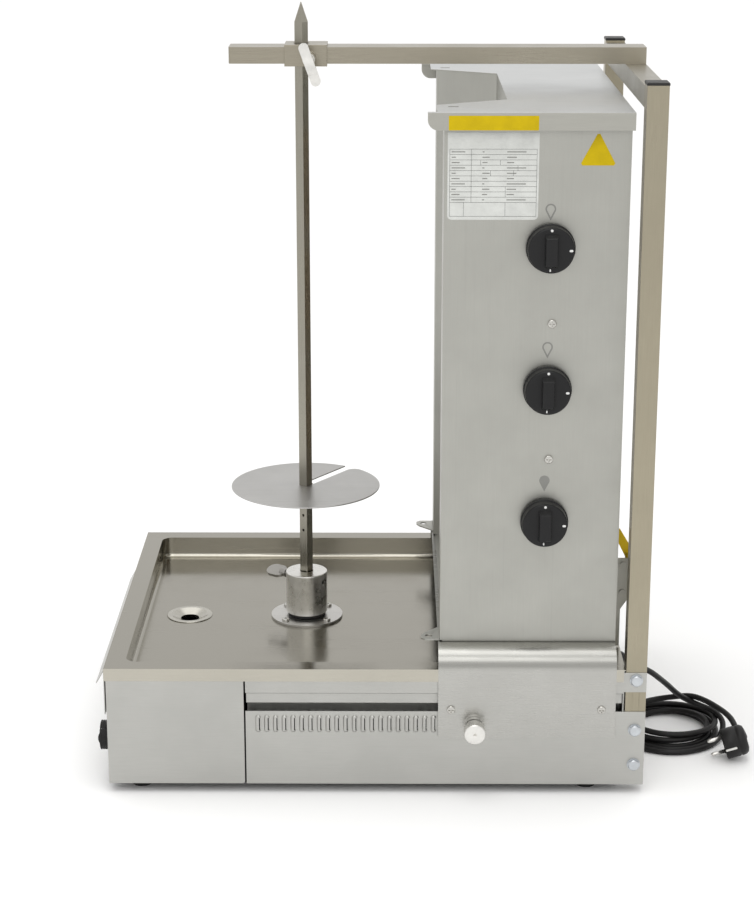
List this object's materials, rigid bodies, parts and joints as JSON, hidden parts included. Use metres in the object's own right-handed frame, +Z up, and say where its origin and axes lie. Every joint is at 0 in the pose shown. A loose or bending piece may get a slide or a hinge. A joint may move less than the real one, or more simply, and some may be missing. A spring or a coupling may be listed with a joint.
{
  "type": "vertical rotisserie broiler",
  "caption": "Countertop gas broiler with a motor-driven upright spit on a drip tray and a sliding burner tower behind it.",
  "frame": {"origin": "centre of the machine's footprint, at the bottom of its rubber feet", "axes": "+Z up along the spit, +X from the front panel to the rear posts, +Y from the control side to the far side"},
  "size_m": [0.8114, 0.5399, 0.935],
  "materials": {
    "sheet": "brushed stainless sheet, long grain, light fingerprints",
    "tray_sheet": "fine satin stainless, folded and pressed",
    "tower_sheet": "matt vertical-grain stainless",
    "post_steel": "drawn stainless box section, warm satin",
    "steel_bar": "turned and drawn stainless",
    "gear_steel": "machined steel, oiled",
    "fastener": "bright machined fasteners",
    "zinc": "zinc-plated hex bolts",
    "rubber": "black moulded rubber",
    "motor_paint": "dark grey enamel",
    "black_plastic": "black moulded nylon",
    "white_plastic": "natural acetal",
    "knob_plastic": "black phenolic",
    "yellow_plastic": "yellow dipped handle",
    "brass": "machined brass",
    "pipe_steel": "drawn steel pipe",
    "cock_metal": "nickel-plated brass",
    "cast_iron": "cast iron burner body",
    "ceramic_tile": "pierced ceramic tile, toasted",
    "guard_wire": "heat-tinted stainless wire",
    "cord_rubber": "black rubber mains flex",
    "plug_rubber": "moulded black plug with nickel pins"
  },
  "bodies": {
    "base": {"base_pan": "sheet", "front_cover": "sheet", "side_panels": "sheet", "upper_side_strips": "sheet", "carriage_rails": "steel_bar", "rear_panel": "sheet", "tray_pan": "tray_sheet", "drain_fitting": "tray_sheet", "feet": "rubber", "bearing_housing": "steel_bar", "flange_screws": "fastener", "shaft_bearings": "steel_bar", "drive_motor": "motor_paint", "posts": "post_steel", "cross_bar": "post_steel", "post_caps": "black_plastic", "post_bolts": "zinc", "top_arm": "post_steel", "arm_sleeve": "steel_bar", "switch_bezel": "black_plastic", "cord_gland": "black_plastic", "mains_cord": "cord_rubber", "plug_lead": "cord_rubber", "cord_coil": "cord_rubber", "mains_plug": "plug_rubber"},
    "drawer": {"grease_drawer": "sheet"},
    "rotor": {"seal_ring": "rubber", "drive_shaft": "steel_bar", "drive_gear": "gear_steel", "spit_socket": "steel_bar"},
    "pinion": {"motor_pinion": "gear_steel"},
    "spit": {"spit_bar": "steel_bar", "disc_pin": "fastener"},
    "disc": {"meat_disc": "steel_bar"},
    "clamp_screw": {"socket_screw": "fastener"},
    "sleeve_screw": {"arm_screw": "steel_bar"},
    "carriage": {"carriage_saddle": "tray_sheet", "slide_blocks": "white_plastic", "carriage_screws": "fastener", "tower_side_near": "tower_sheet", "tower_side_far": "tower_sheet", "tower_back": "tower_sheet", "tower_cover": "tower_sheet", "reflectors": "tower_sheet", "burner_bodies": "cast_iron", "burner_tiles": "ceramic_tile", "burner_guards": "guard_wire", "gas_valves": "brass", "gas_manifold": "pipe_steel", "gas_cock": "cock_metal", "shield_ears": "tower_sheet"},
    "lock_screw": {"lock_knob": "steel_bar"},
    "cock_handle": {"cock_lever": "yellow_plastic"},
    "rocker": {"switch_rocker": "black_plastic"},
    "top_spindle": {"spindle_top": "brass"},
    "top_knob": {"knob_top": "knob_plastic"},
    "middle_spindle": {"spindle_middle": "brass"},
    "middle_knob": {"knob_middle": "knob_plastic"},
    "bottom_spindle": {"spindle_bottom": "brass"},
    "bottom_knob": {"knob_bottom": "knob_plastic"}
  },
  "joints": [
    {"name": "drawer_slide", "type": "slide", "parent": "base", "child": "drawer", "axis": [-1, 0, 0], "range_m": [0, 0.14]},
    {"name": "spit_turn", "type": "hinge", "parent": "base", "child": "rotor", "pos_m": [-0.088, 0.01275, 0.1], "axis": [0, 0, 1], "continuous": true},
    {"name": "pinion_turn", "type": "hinge", "parent": "base", "child": "pinion", "pos_m": [-0.024, 0.01275, 0.09], "axis": [0, 0, 1], "continuous": true},
    {"name": "spit_lift", "type": "slide", "parent": "rotor", "child": "spit", "axis": [0, 0, 1], "range_m": [0, 0.12]},
    {"name": "disc_lift", "type": "slide", "parent": "spit", "child": "disc", "axis": [0, 0, 1], "range_m": [0, 0.4]},
    {"name": "clamp_screw_turn", "type": "hinge", "parent": "rotor", "child": "clamp_screw", "pos_m": [-0.088, 0.01275, 0.188], "axis": [-0.8192, 0.5736, 0], "range_deg": [-360, 0]},
    {"name": "sleeve_screw_turn", "type": "hinge", "parent": "base", "child": "sleeve_screw", "pos_m": [-0.078, -0.02825, 0.868], "axis": [0, 1, 0], "range_deg": [-360, 0]},
    {"name": "carriage_slide", "type": "slide", "parent": "base", "child": "carriage", "axis": [1, 0, 0], "range_m": [-0.1, 0]},
    {"name": "lock_screw_turn", "type": "hinge", "parent": "carriage", "child": "lock_screw", "pos_m": [0.124, -0.24825, 0.091], "axis": [0, 1, 0], "range_deg": [-360, 0]},
    {"name": "cock_turn", "type": "hinge", "parent": "carriage", "child": "cock_handle", "pos_m": [0.319, -0.14625, 0.27], "axis": [0, 0, 1], "range_deg": [0, 90]},
    {"name": "switch_rock", "type": "hinge", "parent": "base", "child": "rocker", "pos_m": [-0.326, -0.19625, 0.058], "axis": [0, 1, 0], "range_deg": [-8, 8]},
    {"name": "top_knob_turn", "type": "hinge", "parent": "carriage", "child": "top_spindle", "pos_m": [0.205, -0.21825, 0.676], "axis": [0, 1, 0], "range_deg": [0, 180]},
    {"name": "top_knob_push", "type": "slide", "parent": "top_spindle", "child": "top_knob", "axis": [0, 1, 0], "range_m": [0, 0.003], "stiffness_N_per_m": 600, "springref_m": -0.002},
    {"name": "middle_knob_turn", "type": "hinge", "parent": "carriage", "child": "middle_spindle", "pos_m": [0.205, -0.21825, 0.508], "axis": [0, 1, 0], "range_deg": [0, 180]},
    {"name": "middle_knob_push", "type": "slide", "parent": "middle_spindle", "child": "middle_knob", "axis": [0, 1, 0], "range_m": [0, 0.003], "stiffness_N_per_m": 600, "springref_m": -0.002},
    {"name": "bottom_knob_turn", "type": "hinge", "parent": "carriage", "child": "bottom_spindle", "pos_m": [0.205, -0.21825, 0.345], "axis": [0, 1, 0], "range_deg": [0, 180]},
    {"name": "bottom_knob_push", "type": "slide", "parent": "bottom_spindle", "child": "bottom_knob", "axis": [0, 1, 0], "range_m": [0, 0.003], "stiffness_N_per_m": 600, "springref_m": -0.002}
  ],
  "couplings": [
    {"joint": "pinion_turn", "follows": "spit_turn", "ratio": -3}
  ]
}
